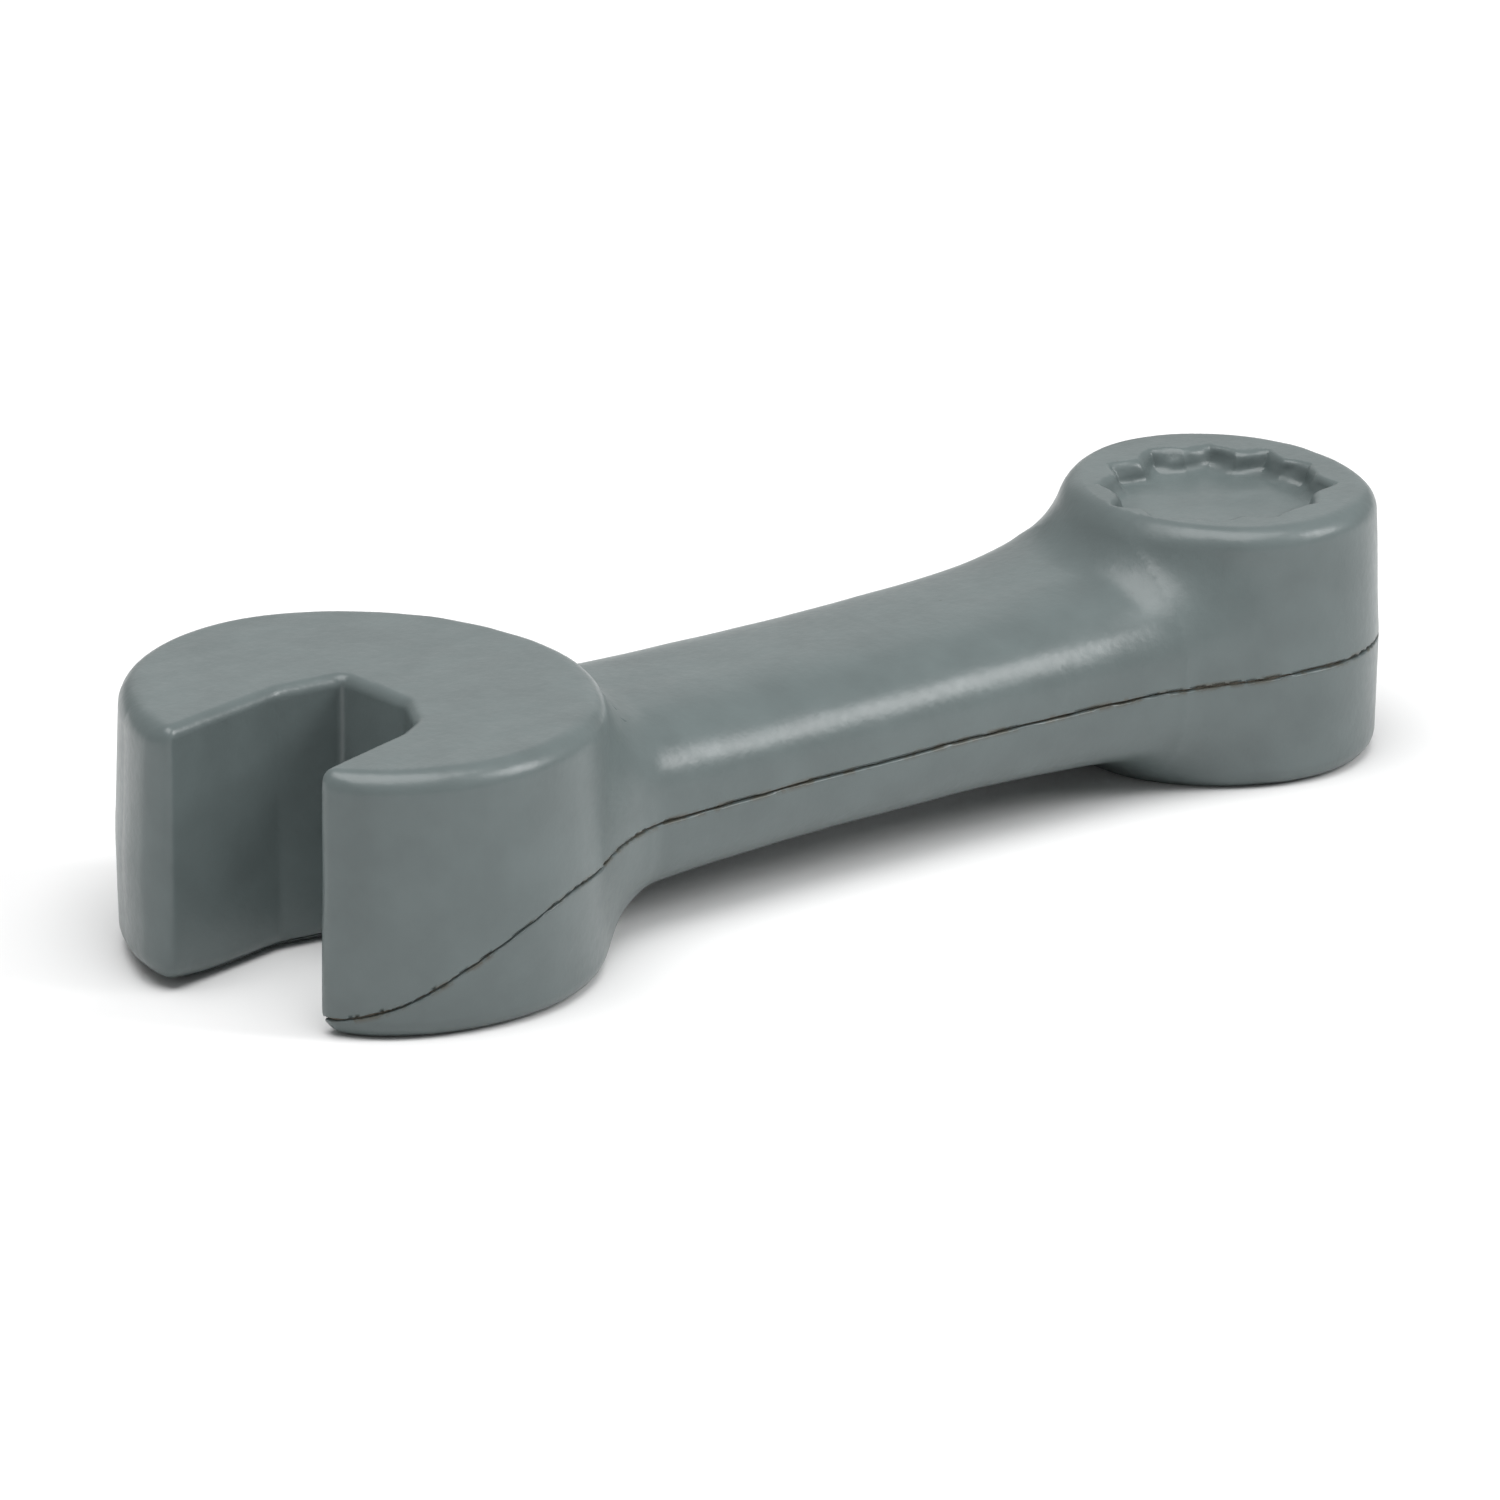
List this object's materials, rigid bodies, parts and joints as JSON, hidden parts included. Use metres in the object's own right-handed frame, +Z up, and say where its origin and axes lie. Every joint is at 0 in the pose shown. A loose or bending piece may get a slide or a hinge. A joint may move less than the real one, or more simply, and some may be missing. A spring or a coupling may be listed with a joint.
{
  "type": "combination wrench",
  "caption": "Soft moulded foam combination wrench with a thick open jaw, a plain handle and a closed ring that carries a shallow star recess.",
  "frame": {"origin": "bottom centre of the bounding box, on the plane that both heads rest on", "axes": "+X from the open jaw to the ring along the handle, +Z up out of the flat side that carries the recess, +Y completes the right-handed frame"},
  "size_m": [0.1337, 0.0488, 0.0254],
  "materials": {
    "paint_upper": "satin grey-green paint over the foam's own skin",
    "paint_lower": "satin grey-green paint over the foam's own skin",
    "raw_foam": "matt open-cell foam"
  },
  "bodies": {
    "root": {"upper_skin": "paint_upper", "lower_skin": "paint_lower", "foam_core": "raw_foam"}
  },
  "joints": []
}
